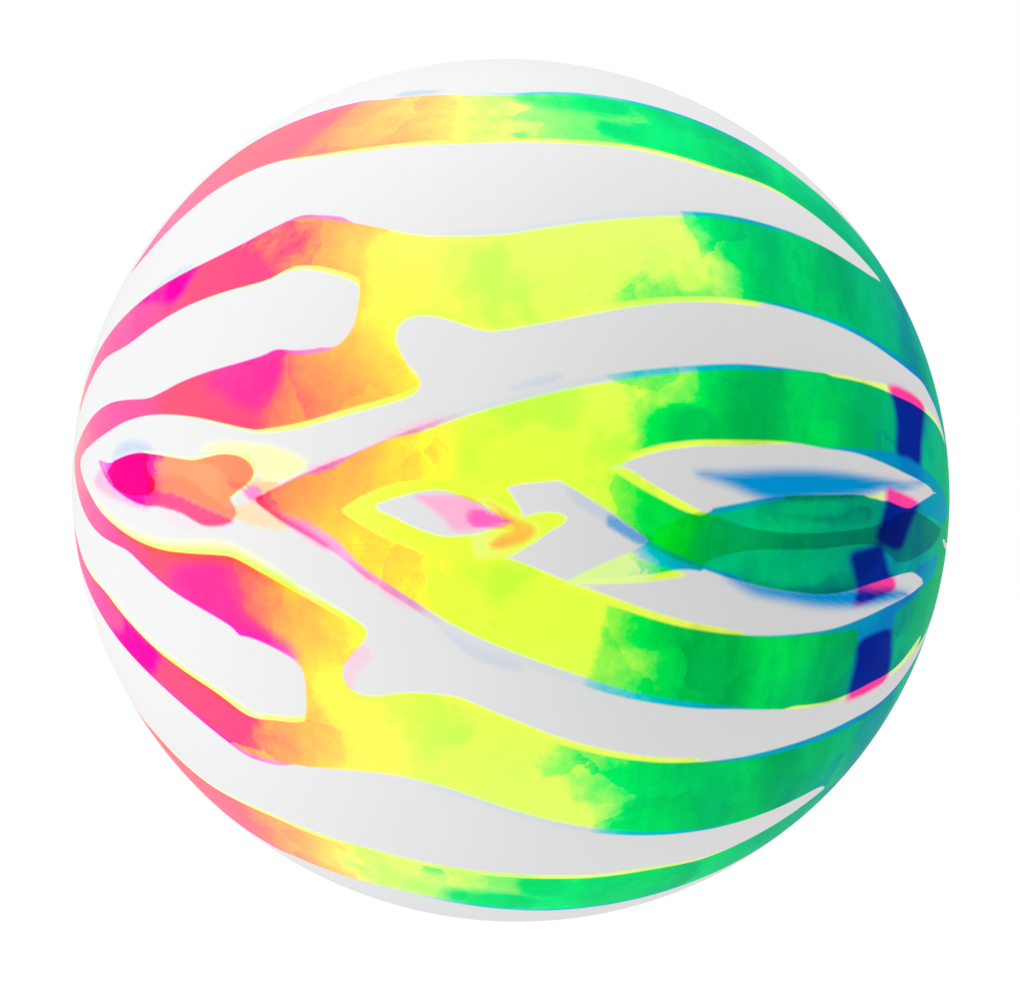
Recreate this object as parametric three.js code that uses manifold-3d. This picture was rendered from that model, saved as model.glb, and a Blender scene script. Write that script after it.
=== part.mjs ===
// A seamless play ball in thin soft vinyl, blown up tight, with its inflation valve.
// Millimetres, +Z up. The origin is the ball's centre and the valve faces along +Y.
// The ball is moulded in one piece, so it has no panels and no welds. It is slightly longer
// along one axis, as thin vinyl balls are, and that axis dips below +X.
import * as THREE from "three";
import { mergeVertices } from "three/addons/utils/BufferGeometryUtils.js";
import Module from "manifold-3d";

// The ball.
const BALL_DIAMETER = 230; // the mean of its three diameters
const OUT_OF_ROUND = 1.0244; // the long diameter over the two short ones
const LONG_AXIS_DIP = THREE.MathUtils.degToRad(20.2); // from +X towards -Z
const WALL = 0.5;
const BALL_SIDES = 60; // round the valve's axis
const BALL_RINGS = 30; // from the valve to the far side

// The valve, all of it round about the Y axis.
const VALVE_SIDES = 32;
const HOLE_RADIUS = 8.4; // in the skin
const RIM_RADIUS = 7.9; // the flat ring that shows in the hole
const RIM_RECESS = 0.5; // below the ball's outermost point
const FLANGE_RADIUS = 13; // bonded to the skin from inside
const FLANGE_THICKNESS = 1.1;
const BOND_GAP = 0.3; // the layer of adhesive between the flange and the skin
const SLEEVE_RADIUS = 5;
const SLEEVE_DEPTH = 14; // from the rim's face to the sleeve's inner end
const BORE_RADIUS = 3.1;
const SEAT_RADIUS = 4.7; // the counterbore that takes the plug's head
const SEAT_DEPTH = 1.9;
const NAIL_NOTCH_RADIUS = 1.7; // lets a fingernail under the plug's head

// The plug.
const HEAD_RADIUS = 4.4;
const HEAD_SEAT_GAP = 0.25;
const HEAD_CROWN = 0.25; // how much the head's top is domed
const STEM_RADIUS = 2.6;
const SEAL_RADIUS = 3.0; // the two rings that grip the bore
const SEAL_WIDTH = 1.4;
const SEAL_DEPTHS = [3.2, 6.8]; // of each ring's top below the head
const STEM_LENGTH = 10.5;
const TIP_RADIUS = 1.6;

const SHORT_RADIUS = BALL_DIAMETER / 2 / Math.cbrt(OUT_OF_ROUND);
const RIM_Y = SHORT_RADIUS - RIM_RECESS;

const wasm = await Module();
wasm.setup();

const vinyl = (color) => new THREE.MeshStandardMaterial({ color, roughness: 0.35, metalness: 0 });
const WHITE_VINYL = vinyl(0xf4f3f2);
const VALVE_VINYL = vinyl(0xe9e6df);
const PLUG_PLASTIC = vinyl(0xf7f7f5);

// A body turned about the Y axis from a profile of [radius, y] pairs.
function turned(profile, sides) {
  const points = profile.map(([radius, y]) => new THREE.Vector2(radius, y));
  const lathe = new THREE.LatheGeometry(points, sides);
  return lathe.deleteAttribute("normal").deleteAttribute("uv");
}

function mesh(name, geometry, material) {
  const made = new THREE.Mesh(geometry, material);
  made.name = name;
  return made;
}

function toSolid(geometry) {
  const merged = mergeVertices(geometry, 1e-4);
  const vertProperties = merged.attributes.position.array;
  const triVerts = new Uint32Array(merged.index.array);
  return new wasm.Manifold(new wasm.Mesh({ numProp: 3, vertProperties, triVerts }));
}

function toGeometry(solid) {
  const { vertProperties, triVerts } = solid.getMesh();
  const geometry = new THREE.BufferGeometry();
  geometry.setAttribute("position", new THREE.BufferAttribute(vertProperties, 3));
  return geometry.setIndex(new THREE.BufferAttribute(triVerts, 1));
}

// Height of a sphere of this radius above the origin at a distance from the Y axis.
const sphereHeight = (sphereRadius, offAxis) => Math.sqrt(sphereRadius ** 2 - offAxis ** 2);

// One wall of the ball: an arc from the point opposite the valve round to the valve's hole.
function wallArc(radius) {
  const holeAngle = Math.asin(HOLE_RADIUS / radius);
  const arc = [];
  for (let ring = 0; ring <= BALL_RINGS; ring++) {
    const fromValve = Math.PI + (holeAngle - Math.PI) * (ring / BALL_RINGS);
    const offAxis = ring === 0 ? 0 : radius * Math.sin(fromValve);
    arc.push([offAxis, radius * Math.cos(fromValve)]);
  }
  return arc;
}

// Stretches the round shell along its dipped long axis.
function stretchAlongDip(geometry) {
  const turn = new THREE.Matrix4().makeRotationY(LONG_AXIS_DIP);
  const stretch = new THREE.Matrix4().makeScale(OUT_OF_ROUND, 1, 1);
  const back = turn.clone().transpose();
  return geometry.applyMatrix4(turn.multiply(stretch).multiply(back));
}

// The moulded skin: one thin wall all round, open only at the valve.
function ballSkin() {
  const outside = wallArc(SHORT_RADIUS);
  const inside = wallArc(SHORT_RADIUS - WALL).reverse();
  const shell = turned([...outside, ...inside], BALL_SIDES);
  return mesh("ball_skin", stretchAlongDip(shell), WHITE_VINYL);
}

// The valve's base: a flat ring in the skin's hole, a dished flange under the skin round it,
// and a sleeve that reaches into the ball and takes the plug.
function valveBase() {
  const underSkin = SHORT_RADIUS - WALL - BOND_GAP;
  const neckY = sphereHeight(underSkin, HOLE_RADIUS) - BOND_GAP;
  const flangeY = sphereHeight(underSkin, FLANGE_RADIUS) - BOND_GAP;
  const seatY = RIM_Y - SEAT_DEPTH;
  const endY = RIM_Y - SLEEVE_DEPTH;
  const body = turned(
    [
      [BORE_RADIUS, seatY],
      [BORE_RADIUS, endY],
      [SLEEVE_RADIUS, endY],
      [SLEEVE_RADIUS, flangeY - FLANGE_THICKNESS],
      [FLANGE_RADIUS, flangeY - FLANGE_THICKNESS],
      [FLANGE_RADIUS, flangeY],
      [RIM_RADIUS, neckY],
      [RIM_RADIUS, RIM_Y],
      [SEAT_RADIUS, RIM_Y],
      [SEAT_RADIUS, seatY],
      [BORE_RADIUS, seatY],
    ],
    VALVE_SIDES,
  );
  const notch = new THREE.CylinderGeometry(
    NAIL_NOTCH_RADIUS, NAIL_NOTCH_RADIUS, SEAT_DEPTH, VALVE_SIDES / 2,
  );
  notch.deleteAttribute("normal").deleteAttribute("uv");
  notch.translate(0, RIM_Y, SEAT_RADIUS);
  const cut = toSolid(body).subtract(toSolid(notch));
  return mesh("valve_base", toGeometry(cut), VALVE_VINYL);
}

// The plug: a low head that fills the seat, and a stem with two sealing rings.
function valvePlug() {
  const underHead = RIM_Y - SEAT_DEPTH + HEAD_SEAT_GAP;
  const profile = [[0, underHead - STEM_LENGTH]];
  profile.push([TIP_RADIUS, underHead - STEM_LENGTH]);
  for (const depth of SEAL_DEPTHS.toReversed()) {
    const top = underHead - depth;
    profile.push([STEM_RADIUS, top - SEAL_WIDTH]);
    profile.push([SEAL_RADIUS, top - SEAL_WIDTH / 2]);
    profile.push([STEM_RADIUS, top]);
  }
  profile.push([STEM_RADIUS, underHead]);
  profile.push([HEAD_RADIUS, underHead]);
  profile.push([HEAD_RADIUS, SHORT_RADIUS - HEAD_CROWN]);
  profile.push([HEAD_RADIUS / 2, SHORT_RADIUS - HEAD_CROWN / 4]);
  profile.push([0, SHORT_RADIUS]);
  return mesh("valve_plug", turned(profile, VALVE_SIDES), PLUG_PLASTIC);
}

const ball = new THREE.Group();
ball.add(ballSkin(), valveBase(), valvePlug());

export default ball;
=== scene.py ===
import math

import bmesh
import bpy
import numpy as np
from mathutils import Matrix, Vector


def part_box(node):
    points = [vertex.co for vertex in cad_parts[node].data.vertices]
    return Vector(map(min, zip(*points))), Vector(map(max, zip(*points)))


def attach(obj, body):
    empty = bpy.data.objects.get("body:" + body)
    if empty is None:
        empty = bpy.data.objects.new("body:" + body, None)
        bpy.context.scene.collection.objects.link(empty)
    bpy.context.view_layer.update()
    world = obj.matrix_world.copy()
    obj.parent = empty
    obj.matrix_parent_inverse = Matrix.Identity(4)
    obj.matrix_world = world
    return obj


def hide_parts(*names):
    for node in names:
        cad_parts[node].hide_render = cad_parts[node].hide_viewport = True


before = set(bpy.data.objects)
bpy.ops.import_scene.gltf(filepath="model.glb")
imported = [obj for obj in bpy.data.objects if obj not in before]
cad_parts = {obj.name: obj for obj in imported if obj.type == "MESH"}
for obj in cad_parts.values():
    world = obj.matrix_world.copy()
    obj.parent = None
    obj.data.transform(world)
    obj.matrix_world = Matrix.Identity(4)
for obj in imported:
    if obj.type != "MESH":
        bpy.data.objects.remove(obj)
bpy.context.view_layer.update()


# ---- Camera --------------------------------------------------------------
# A long portrait lens at six ball radii, level with the ball and aimed along +Y, straight
# at the side opposite the valve.
skin_low, skin_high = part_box("ball_skin")
SHORT_RADIUS = -skin_low.y  # the side opposite the valve has no hole in it
RADII_AWAY = 6
CAMERA_DISTANCE = RADII_AWAY * SHORT_RADIUS
CAMERA_ASIDE = -0.0002
CAMERA_BELOW = -0.0025
SENSOR_WIDTH = 36
BALL_WIDTH_IN_VIEW = 0.8433  # the short diameter, as a share of the view's width

camera_data = bpy.data.cameras.new("camera")
camera = bpy.data.objects.new("camera", camera_data)
bpy.context.scene.collection.objects.link(camera)
bpy.context.scene.camera = camera
limb_slope = SHORT_RADIUS / math.sqrt(CAMERA_DISTANCE**2 - SHORT_RADIUS**2)
camera_data.sensor_width = SENSOR_WIDTH
camera_data.lens = SENSOR_WIDTH * BALL_WIDTH_IN_VIEW / 2 / limb_slope
camera_data.clip_start = 0.05
camera_data.clip_end = 50
camera.location = (CAMERA_ASIDE, -CAMERA_DISTANCE, CAMERA_BELOW)
camera.rotation_euler = (math.radians(90), 0, 0)


# ---- The ball's skin -----------------------------------------------------
# Thin white vinyl, moulded in one piece and blown up tight, so it has no panels or welds.
# Its edge turns in round the valve's hole, where the valve's flange is welded under it.
LONG_AXIS_DIP = math.radians(20.2)
HOLE_RADIUS = 0.0084
LIP_RADIUS = 0.0004
LIP_STEPS = ((0.7, 0.3), (0.3, 0.7), (0.0, 1.0), (0.0, 2.0))  # (outwards, down) in lip radii
CUT_AWAY = 1.12  # in hole radii, the cells cut out before the edge is rolled in
SKIN_CELLS = 128  # along each side of the six patches that the skin starts from
FINER_IN_FRONT = 1.35  # how much finer the cells are where the two halves' prints meet

width_squared = ((skin_high.x - skin_low.x) / 2) ** 2
height_squared = ((skin_high.z - skin_low.z) / 2) ** 2
LONG_RADIUS = math.sqrt(width_squared + height_squared - SHORT_RADIUS**2)


def link(name, bm):
    """Makes a finished piece of a bmesh, smooth, with its object at the origin."""
    mesh = bpy.data.meshes.new(name)
    bm.to_mesh(mesh)
    bm.free()
    mesh.shade_smooth()
    piece = bpy.data.objects.new(name, mesh)
    bpy.context.scene.collection.objects.link(piece)
    return piece


def ring_to(verts, reach, down):
    """Sets a ring of points at a radius round the hole, some way below the ball's surface."""
    for vert in verts:
        off_axis = math.hypot(vert.co.x, vert.co.z)
        vert.co.x *= reach / off_axis
        vert.co.z *= reach / off_axis
        vert.co.y = math.sqrt(SHORT_RADIUS**2 - reach**2) - down


def round_skin():
    """A round shell of even cells with the valve's hole in it and its edge turned in."""
    bm = bmesh.new()
    bmesh.ops.create_cube(bm, size=2)
    bmesh.ops.subdivide_edges(bm, edges=bm.edges[:], cuts=SKIN_CELLS - 1, use_grid_fill=True)
    for vert in bm.verts:
        even = Vector([math.tan(part * math.pi / 4) for part in vert.co]).normalized()
        spread = Vector((even.x, even.z)) / max(1 - even.y, 1e-6) / FINER_IN_FRONT
        if even.y < 1:
            scale = 1 + spread.length_squared
            even = Vector((2 * spread.x, spread.length_squared - 1, 2 * spread.y)) / scale
        vert.co = even * SHORT_RADIUS
    opened = CUT_AWAY * HOLE_RADIUS
    over_hole = [v for v in bm.verts if v.co.y > 0 and math.hypot(v.co.x, v.co.z) < opened]
    bmesh.ops.delete(bm, geom=over_hole, context="VERTS")
    edge = [e for e in bm.edges if e.is_boundary]
    ring_to({v for e in edge for v in e.verts}, HOLE_RADIUS + LIP_RADIUS, 0)
    for outwards, down in LIP_STEPS:
        made = bmesh.ops.extrude_edge_only(bm, edges=edge)["geom"]
        edge = [e for e in made if isinstance(e, bmesh.types.BMEdge)]
        rim = {v for e in edge for v in e.verts}
        ring_to(rim, HOLE_RADIUS + LIP_RADIUS * outwards, LIP_RADIUS * down)
    bmesh.ops.recalc_face_normals(bm, faces=bm.faces[:])
    return bm


skin_bm = round_skin()
round_place = np.array([v.co[:] for v in skin_bm.verts])
dip = Matrix.Rotation(LONG_AXIS_DIP, 4, "Y")
stretch = Matrix.Diagonal((LONG_RADIUS / SHORT_RADIUS, 1, 1, 1))
bmesh.ops.transform(skin_bm, matrix=dip @ stretch @ dip.inverted(), verts=skin_bm.verts[:])
skin = link("printed_skin", skin_bm)
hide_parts("ball_skin")
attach(skin, "ball")


# ---- The print -----------------------------------------------------------
# Transparent yellow, magenta and cyan inks, printed on the skin's two halves from mirrored
# artwork that overlaps along the middle. Outlines are (along, across) in degrees: along runs
# from the print's left pole to its right pole, across goes up from the middle line.
PRINT_TILT = math.radians(-7)  # the poles' axis against the level, right end down
MIDDLE_LINE = math.radians(-5)  # the print's middle line against straight ahead
FAR_OUTSIDE = -6.0  # degrees: beyond this an outline has no say
CURVE_STEPS = 4

MAIN_BANDS = (
    # the band above the middle, from its left tail to the right-hand end
    (14.5, 16), (14, 22), (15.3, 29), (18, 34), (22, 37), (27, 37.8), (36, 37.9), (46, 37.7),
    (52, 38.4), (57, 39.8), (60.7, 40.7), (64, 39.8), (70, 37.7), (75, 36.1), (79, 35.7), (85, 36.3),
    (90, 37.9), (100, 42), (110, 46.6), (120, 50.7), (130, 55.2), (135, 58.5), (137.5, 61.3),
    (141, 64), (148, 62), (156, 61), (164, 58), (170, 52), (164, 50), (157, 49.8), (150, 48.3),
    (145, 44.7), (140, 42), (135, 40.3), (125, 37.2), (115, 34.4), (105, 31), (95, 26.8), (90, 24.9),
    (85.5, 23.6), (82, 24.3), (79, 24.9),
    # down the stem to the loop, whose inside goes round the left end
    (76.5, 24.6), (75.2, 23.2), (75.3, 21.3), (76.8, 18.8), (78.4, 17.2), (78.4, 15.8), (76.5, 14.4),
    (70, 11.9), (65, 10), (60, 8.7), (58, 8.6), (55, 9), (50, 9.8), (45, 10.2), (40, 10), (35, 8.7),
    (30, 6), (26, 3.2), (23, 0.5), (21, -2.5), (20.4, -5.5), (22, -8), (25, -10.3), (30, -12.7),
    (35, -13.4), (41, -13.3), (46, -12.5), (51, -11), (55, -9.8), (57.5, -9.3), (60, -9.7), (65, -11),
    (70, -12.4), (74, -13.8), (75.7, -15), (75.4, -16.5), (74.2, -18.5), (73.3, -20.5), (73.6, -22.3),
    # the band below the middle, out to its right-hand end and back
    (75, -23.4), (77.5, -23.2), (81, -21.8), (85, -21.2), (88, -21.5), (95, -23.9), (100, -25.7),
    (110, -28.4), (120, -30.2), (130, -31.6), (140, -33.8), (145, -35.9), (150, -38.1),
    (156, -39.8), (163, -41.5), (170, -46), (165, -53), (157, -57), (148, -60), (140, -60),
    (139.2, -56),
    (138.6, -53.6), (137.2, -51.6), (135, -50.2), (130, -48.1), (120, -45.1), (110, -42.1),
    (100, -38.9), (90, -35.4), (85, -34.3), (80, -34.3), (75, -35.6), (70, -37.6), (65, -39.6),
    (61.5, -40.8), (58, -40.3), (52, -39.6), (46, -39.7), (40, -40.6), (33, -42.6), (27, -45),
    (22, -48), (18, -52), (15, -57), (13, -50), (14.5, -44), (17, -39.5), (20, -38.2),
    # the lower white pocket, then the loop's outside, then the upper white pocket
    (25, -36.8), (29, -34.7), (32, -32.9), (35, -32.1), (45, -32.1), (54, -31.7), (57.5, -31.9),
    (61.5, -32.6), (65, -31.2), (68.7, -29.5), (69.1, -28), (68.8, -24.5), (68, -22.2), (66.3, -20.5),
    (63.5, -19.9), (61, -19.9), (59.5, -20.2), (58, -19.4), (54, -18.9), (48, -18.5), (43, -17.5),
    (39, -16.7), (35, -17.7), (31, -18.9), (27, -19.3), (23, -18.5), (20, -16.5), (17, -13),
    (15.2, -9), (15, -5), (16.5, -0.5), (18.3, 3.5), (20.5, 7), (23, 10), (26, 12.2), (29, 13.4),
    (32, 13.8), (36, 13.6), (40, 13.4), (43, 14.4), (46, 15.7), (50, 16.9), (55, 18), (58.5, 18.9),
    (60.3, 19.7), (63, 19.5), (66, 19.8), (68.3, 20.9), (69.6, 22.8), (70, 25), (69.9, 28),
    (69.2, 29.4), (65, 31.2), (62, 31.9), (60, 31.6), (57, 30.4), (50, 30.1), (44, 29.6), (38, 28.4),
    (34, 27.4), (31, 27.4), (28, 28.1), (25, 28.6), (22, 27.3), (20, 25.4), (17.5, 22), (15.8, 18.5),
)
TOP_BAND = (
    (27, 60), (30, 62.5), (35, 67), (40, 70.5), (45, 72.3), (50, 71.8), (60, 68.4), (70, 65.4),
    (80, 63.3), (85, 63.3), (88, 64.3), (95, 66.2), (110, 69.2), (125, 72), (134, 75), (142, 76),
    (150, 73), (158, 67), (164, 58), (157, 51), (150, 48.3), (145, 50), (140, 56),
    (137.7, 62.5), (137.7, 62.5), (130, 61.3), (120, 59.8), (115, 58.3), (110, 56.4), (100, 54.7),
    (90, 52.6), (80, 51.4), (70, 51.7), (65, 52.3), (60, 53.6), (55, 55.8), (50, 57.3), (45, 58.1),
    (40, 57.8), (33, 57.5), (30, 58.2),
)
BOTTOM_BAND = (
    (38, -69), (42, -64), (45, -61.5), (50, -59.8), (55, -57.8), (60, -55), (65, -52.8), (70, -51.8),
    (75, -51), (80, -50.3), (90, -50.3), (100, -50.8), (105, -51.4), (112, -52.1), (116, -53.1),
    (120, -54.3), (125, -54.7), (135, -55.4), (139.2, -56), (139.2, -56), (142, -50), (148, -46),
    (156, -47), (162, -51), (158, -58), (150, -64), (140, -68), (130, -68), (120, -65.8),
    (110, -64.3), (100, -63.1), (95, -62.2), (90, -61.5), (85, -61.1), (80, -61.6), (75, -63.4),
    (70, -65), (65, -67.3), (60, -70), (55, -73), (49, -75), (42, -74),
)
CROSSING_BANDS = (
    # the upper arm out to the right-hand end
    (61, 0.2), (63, 1.6), (66, 3.6), (70, 5.8), (75, 8.7), (80, 11.2), (85, 13.7), (90, 15.9),
    (95, 18), (100, 19.9), (105, 21.6), (110, 23.3), (115, 25), (120, 26.4), (125, 28), (130, 30),
    (135, 32.2), (139.4, 35), (144, 38.3), (149.4, 41), (155, 45), (160, 50),
    (166, 54), (172, 48), (176, 30), (175, 14), (169, 7), (163, 8), (160.3, 9), (160, 14),
    (156.3, 20.9),
    # back along its lower edge to the fork
    (156.3, 20.9), (150, 20), (145, 19.2), (140, 18.8), (134, 18.3), (128, 17.1), (124, 16.6),
    (120, 15.9), (115, 14.8), (110, 13.7), (105, 12), (100, 9.3), (97, 7.9), (94.5, 7.3), (91, 6.4),
    (88.5, 5.6), (85, 5.2), (82, 4.9), (78, 4.2), (74, 2.3), (71, -0.2), (71, -0.2),
    # the lower arm's upper edge, out to the right-hand end
    (75, -2), (80, -3.3), (86, -4), (91, -3.9), (97, -5.6), (102, -6.9), (110, -9), (116, -10.1),
    (122, -10.8), (128, -11.1), (133.5, -11.1), (139, -10.3), (144, -9.3), (150, -8.3), (156, -6.3),
    (156, -6.3), (158, 0), (160.3, 9), (164, 5), (170, 1),
    (175, -7), (174, -22), (169, -33), (162, -34.5), (154, -31.5), (148, -30.1), (144, -29.4),
    (140, -28.2), (137, -26.6), (130, -24.5), (125, -23), (120, -21.7), (115, -20.8), (110, -19.7),
    (105, -18.5), (100, -17),
    (95, -15.5), (90, -14), (85, -12.2), (80, -9.9), (75, -7.6), (70, -5), (65, -3.2), (62, -2),
    (60, -0.8),
)
# where the two halves cross again: one arm comes down to the right, the other goes up
FALLING_ARM = (
    (94.5, 7.2), (98, 8), (102.2, 9.1), (105, 8), (108, 6.8), (112, 5.3), (114.4, 4.7), (117.7, 4),
    (121, 3.8), (126, 4), (131, 4.8), (137, 6.2), (141, 8), (145, 10.8), (148, 12.1), (151.5, 12),
    (156, 11.5), (160.5, 10.2), (161, 4), (159, -3), (155.6, -6.3), (152.7, -4.4), (150, -2.7),
    (147, -2.6), (143, -3.2), (138.5, -4.1), (135.5, -4.8), (130.8, -5.1), (126.8, -4.7), (122, -4),
    (117, -2.9), (113.2, -1.9), (109, -0.7), (106, 0.5), (106, 1.1), (103.5, 2.6), (101, 4),
    (98, 5.4),
)
RISING_ARM = (
    (97.5, -4.7), (101.4, -2.1), (105.5, 0.4), (106.5, 2), (108.6, 3.6), (112.3, 5.4), (116, 6.7),
    (120, 8.1), (123.2, 9), (129, 10.2), (135.5, 11.7), (140, 12.1), (145.9, 12), (149.3, 14.4),
    (152.6, 17.6), (156.3, 20.9), (163, 20), (163, 14), (160.5, 10.2), (157.3, 5.2), (154, 2.8),
    (150.8, 1.3), (148, 0.3), (145, 0.1), (142.5, 1.8), (139, 3.4), (134.5, 3), (130, 2.1), (126, 1.7),
    (120.2, 1.2), (116.6, 0.4), (113.5, -0.8), (112.8, -2.2), (111, -2.9), (106, -4), (101, -4.6),
)
RING = (  # round the small white fish between the arms
    (71, -0.2), (74, 2.3), (78, 4.3), (82, 5), (86, 5.3), (88.7, 5.6), (90.2, 4.3), (91.6, 2.4),
    (91.3, 1.8), (93, 2.6), (94.8, 3), (96.5, 2.7), (96.3, 1.9), (95, 0.9), (93, -0.9), (91, -2.4),
    (88.5, -3.8), (84, -4.4), (78, -3.4), (74, -2),
)
ORANGE_BLOT = (  # beside the fish's tail
    (87.5, 3.3), (90.5, 2), (93.2, 1), (92.5, -0.6), (90, -1.8), (88.3, -1.8), (89.4, -0.3), (90.6, 0.8),
)
FISH = (
    (75, 0.9), (78, 2.6), (81, 3.6), (83, 3.8), (85, 3.3), (87, 2.8), (89.5, 1.6), (90.5, 1.2),
    (89, 0.6), (87.5, -0.2), (85.5, -0.9), (83, -1.3), (80, -0.8), (77, 0.2),
)
HOOK = (  # in the loop, with a notch at its right-hand end
    (28, -0.5), (28, -0.5), (30.3, -0.7), (32.5, -0.5), (34, 0.5), (37.4, 2.4), (41.5, 3.2),
    (47.5, 3.2), (50, 3.3), (52.2, 4), (54.7, 4.8), (57.4, 4.7), (59.1, 3.6), (59.4, 2.4),
    (58.7, 1.2), (57.6, 0.1), (56.3, -1.3), (56.3, -1.3), (57.4, -2.5), (57.3, -4), (55.5, -5.4),
    (52.5, -6.1), (49, -5.3), (44.8, -5.5), (41.2, -6.4), (36.8, -6.2), (33, -5.2), (30.1, -3),
)
HOOK_YELLOW = (
    (40.8, 3.5), (47.5, 3.5), (51, 4), (54.7, 5.1), (58, 5), (59.8, 3.4), (59.3, 1.3), (57.6, -0.2),
    (56.9, -1), (56.2, -1.5), (57.5, -2.6), (57.4, -3.6), (56, -4), (54.2, -3.7), (51, -3.2),
    (47.7, -2.7), (43, -3), (43, -1.6), (42, -0.6), (40.8, 0.2), (41, 1.5),
)
HOOK_PINK = (
    (31.9, -2.7), (32.8, -1.4), (34, 0.4), (37, 2), (39.7, 3), (41.9, 3), (41.5, 1.2), (42.2, -0.3),
    (43.6, -1.6), (43.6, -3), (42.4, -4.2), (40.5, -4.8), (39.2, -5.4), (36.7, -5.6), (34.7, -5.2),
    (33.2, -4.2),
)
HOOK_TOE = (
    (42.5, -3), (47.7, -2.7), (51, -3.2), (54.2, -3.7), (57.2, -4.3), (55.5, -5.4), (52.5, -6.1),
    (49, -5.3), (44.8, -5.5), (41.2, -6.4), (37, -6.3), (39.5, -5.2), (42.2, -4.3),
)
COLUMNS = (  # magenta bars that cross the bands near the right-hand end
    ((139.4, 35), (144, 38.3), (149.4, 41), (149.3, 35.6), (148.9, 29), (148.7, 23.6), (145.4, 22.9),
     (142, 22), (141.7, 28), (140.7, 32)),
    ((140.5, 14.5), (143, 14.8), (149.3, 14.7), (148.8, 12), (147.1, 7.8), (146, 3.8), (144.3, 2.7),
     (140.3, 3.6), (139.2, 5.2), (140, 8.5), (140.5, 12)),
    ((134.5, 1.5), (137.5, 2.8), (140.9, 3.6), (142, 1.3), (143.4, -2), (145.2, -3.5), (145.4, -6),
     (141.8, -7), (136.7, -7.8), (136.6, -5), (135.6, -2)),
    ((139, -14.9), (145.5, -14.7), (147, -19), (148, -26), (147.6, -30), (143.9, -29.4),
     (140, -28.3), (138.5, -27), (138.8, -20)),
)
# where the cyan shows with no yellow on it, along edges that face the middle
BARE_CYAN = (
    ((122, 14), (123, 16.4), (126, 16.7), (131.6, 18.4), (136.4, 20), (142, 22), (148, 23.3),
     (156, 24.6), (162, 24.5), (164, 20), (161, 13.5), (156, 12.8), (150, 12.6), (149.5, 14),
     (145, 16), (135, 15)),
    ((120, -9.5), (121, -10.8), (131.7, -11.7), (138, -12.2), (138.8, -14.7), (146, -14.9),
     (146.8, -11.4), (154, -8.6), (159, -5), (160.5, 2), (157, 0.5), (153.5, -0.7), (151, -1.9),
     (150, -5), (135, -9)),
    ((117, 34.5), (119, 36), (125, 37.9), (130, 39.7), (140, 43.4), (147, 47.8), (152, 51),
     (158, 53), (164, 52), (160, 48), (140, 40), (125, 35.5)),
    ((117, -29), (119, -30.3), (125, -31.8), (130, -32.8), (140, -35.6), (146, -38), (152, -40),
     (160, -42.5), (160, -38), (140, -31.5)),
    ((105, -1), (106, 0.9), (109, -0.1), (113, -1.4), (118, -2.7), (118, -4)),
    ((112, 6.5), (112.7, 5.1), (116.4, 6), (120, 7.4), (123, 8.8), (120, 9.5)),
)
# where the yellow shows with no cyan on it, along edges that face away from the middle
BARE_YELLOW = (
    ((126, 30), (128, 28.9), (131, 29.9), (135, 31.5), (141, 33.9), (145, 36.2), (149.4, 39.1),
     (155, 43.6), (161, 49), (150, 48), (138, 38)),
    ((126, -25), (128, -23.6), (131, -24.3), (135, -25.4), (139.7, -26.2), (143.5, -26.8), (148, -28.3),
     (152, -28.9), (158, -28.2), (156, -33), (140, -31)),
    ((100, 11), (99.5, 9), (101.5, 8.3), (104.4, 7), (107.3, 5.9), (110, 5), (112.3, 4.9),
     (112.6, 7)),
    ((112.5, -4), (113, -2.3), (110.5, -2.1), (107.5, -2.8), (103, -3.7), (99, -4.4), (100, -6)),
    ((136, 12.5), (136.5, 11.6), (138.2, 11.7), (140.7, 12), (140.4, 14)),
)
YELLOW_SLIVER = ((136.2, 11.4), (138, 12.5), (140.4, 13.7), (140.6, 11.9), (138, 11.4))


def print_place(places):
    """(along, across) in degrees of points on the round ball. The far side repeats the near one."""
    x, y, z = places.T / np.linalg.norm(places, axis=1)
    on_axis = x * math.cos(PRINT_TILT) + z * math.sin(PRINT_TILT)
    above = z * math.cos(PRINT_TILT) - x * math.sin(PRINT_TILT)
    along = np.degrees(np.arccos(np.clip(-on_axis, -1, 1)))
    across = np.degrees(np.arctan2(above, -y) - MIDDLE_LINE)
    across = (across + 180) % 360 - 180
    near = np.where(across > 90, 180 - across, np.where(across < -90, -180 - across, across))
    return np.stack([along, near], axis=1)


def smooth_outline(corners):
    """A closed curve through the corners. A corner given twice stays sharp."""
    corners = np.array(corners, dtype=float)
    count = len(corners)
    curve = []
    for i in range(count):
        before, start, end, after = (corners[(i + k) % count] for k in (-1, 0, 1, 2))
        if np.array_equal(start, end):
            continue
        for t in np.arange(CURVE_STEPS) / CURVE_STEPS:
            bend = 2 * before - 5 * start + 4 * end - after
            turn = 3 * start - before - 3 * end + after
            curve.append(start + (t * (end - before) + t**2 * bend + t**3 * turn) / 2)
    return np.array(curve)


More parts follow.
